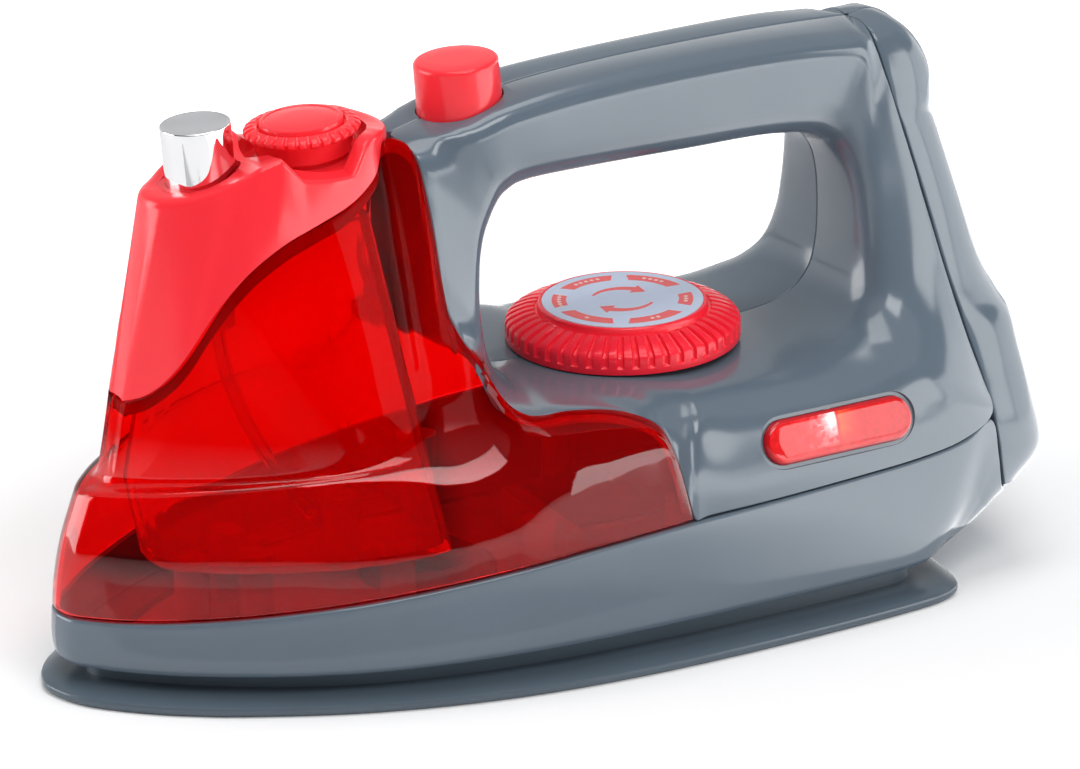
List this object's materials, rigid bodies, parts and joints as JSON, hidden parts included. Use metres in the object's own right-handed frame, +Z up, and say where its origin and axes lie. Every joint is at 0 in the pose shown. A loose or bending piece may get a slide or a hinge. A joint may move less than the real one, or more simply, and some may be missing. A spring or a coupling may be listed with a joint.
{
  "type": "toy iron",
  "caption": "Toy steam iron with a two-part arched handle, clear shroud over a small tank, pump spray button, screw filler cap, ribbed dial, handle button and a lit side lens.",
  "frame": {"origin": "centre of the bounding box on the underside of the sole plate", "axes": "+X from the nose to the heel, +Y to the right side seen from the heel, +Z up"},
  "size_m": [0.241, 0.1104, 0.1331],
  "materials": {
    "grey": "smooth moulded, semi gloss",
    "sole_grey": "smooth moulded, semi gloss",
    "clear_red": "clear tinted, polished",
    "tank_red": "clear tinted",
    "red": "opaque, semi gloss",
    "neck_red": "opaque, semi gloss",
    "dial_red": "opaque, semi gloss",
    "label": "printed card under satin film",
    "chrome": "plated, polished",
    "lens": "clear tinted, faceted behind",
    "lamp": "clear lamp body",
    "white": "natural moulded",
    "frame": "natural moulded",
    "tube": "soft clear tube",
    "steel": "drawn wire and zinc plate",
    "board": "lacquered board",
    "speaker": "paper cone and frame",
    "cell": "printed sleeve"
  },
  "bodies": {
    "iron": {"lower_body": "grey", "shell_left": "grey", "shell_right": "grey", "rear_cover_left": "grey", "rear_cover_right": "grey", "sole_plate": "sole_grey", "battery_door": "sole_grey", "front_shroud": "clear_red", "water_tank": "tank_red", "spray_head": "red", "filler_neck": "neck_red", "pump_barrel": "neck_red", "signal_lens": "lens", "lamp": "lamp", "lamp_holder": "white", "dial_bush": "white", "button_sleeve": "white", "handle_switch": "white", "inner_frame": "frame", "battery_box": "frame", "dip_tube": "tube", "spray_spring": "steel", "button_spring": "steel", "dial_washer": "steel", "dial_screw": "steel", "battery_contacts": "steel", "body_screws": "steel", "base_screws": "steel", "door_screw": "steel", "circuit_board": "board", "lamp_board": "board", "speaker": "speaker", "batteries": "cell"},
    "spray_body": {"spray_button": "chrome", "pump_piston": "white"},
    "handle_button_body": {"handle_button": "red"},
    "filler_cap_body": {"filler_cap": "red"},
    "dial_body": {"dial": "dial_red", "dial_label": "label"}
  },
  "joints": [
    {"name": "spray_press", "type": "slide", "parent": "iron", "child": "spray_body", "axis": [0.0872, 0, -0.9962], "range_m": [0, 0.004], "stiffness_N_per_m": 260, "springref_m": -0.004, "deforming": ["spray_spring"]},
    {"name": "handle_button_press", "type": "slide", "parent": "iron", "child": "handle_button_body", "axis": [0.0854, 0, -0.9963], "range_m": [0, 0.003], "stiffness_N_per_m": 260, "springref_m": -0.004, "deforming": ["button_spring"]},
    {"name": "filler_cap_turn", "type": "hinge", "parent": "iron", "child": "filler_cap_body", "pos_m": [-0.0549, 0, 0.11509], "axis": [-0.0854, 0, 0.9963], "range_deg": [0, 90]},
    {"name": "dial_turn", "type": "hinge", "parent": "iron", "child": "dial_body", "pos_m": [0.02538, 0, 0.05973], "axis": [-0.0209, 0, 0.9998], "continuous": true}
  ]
}
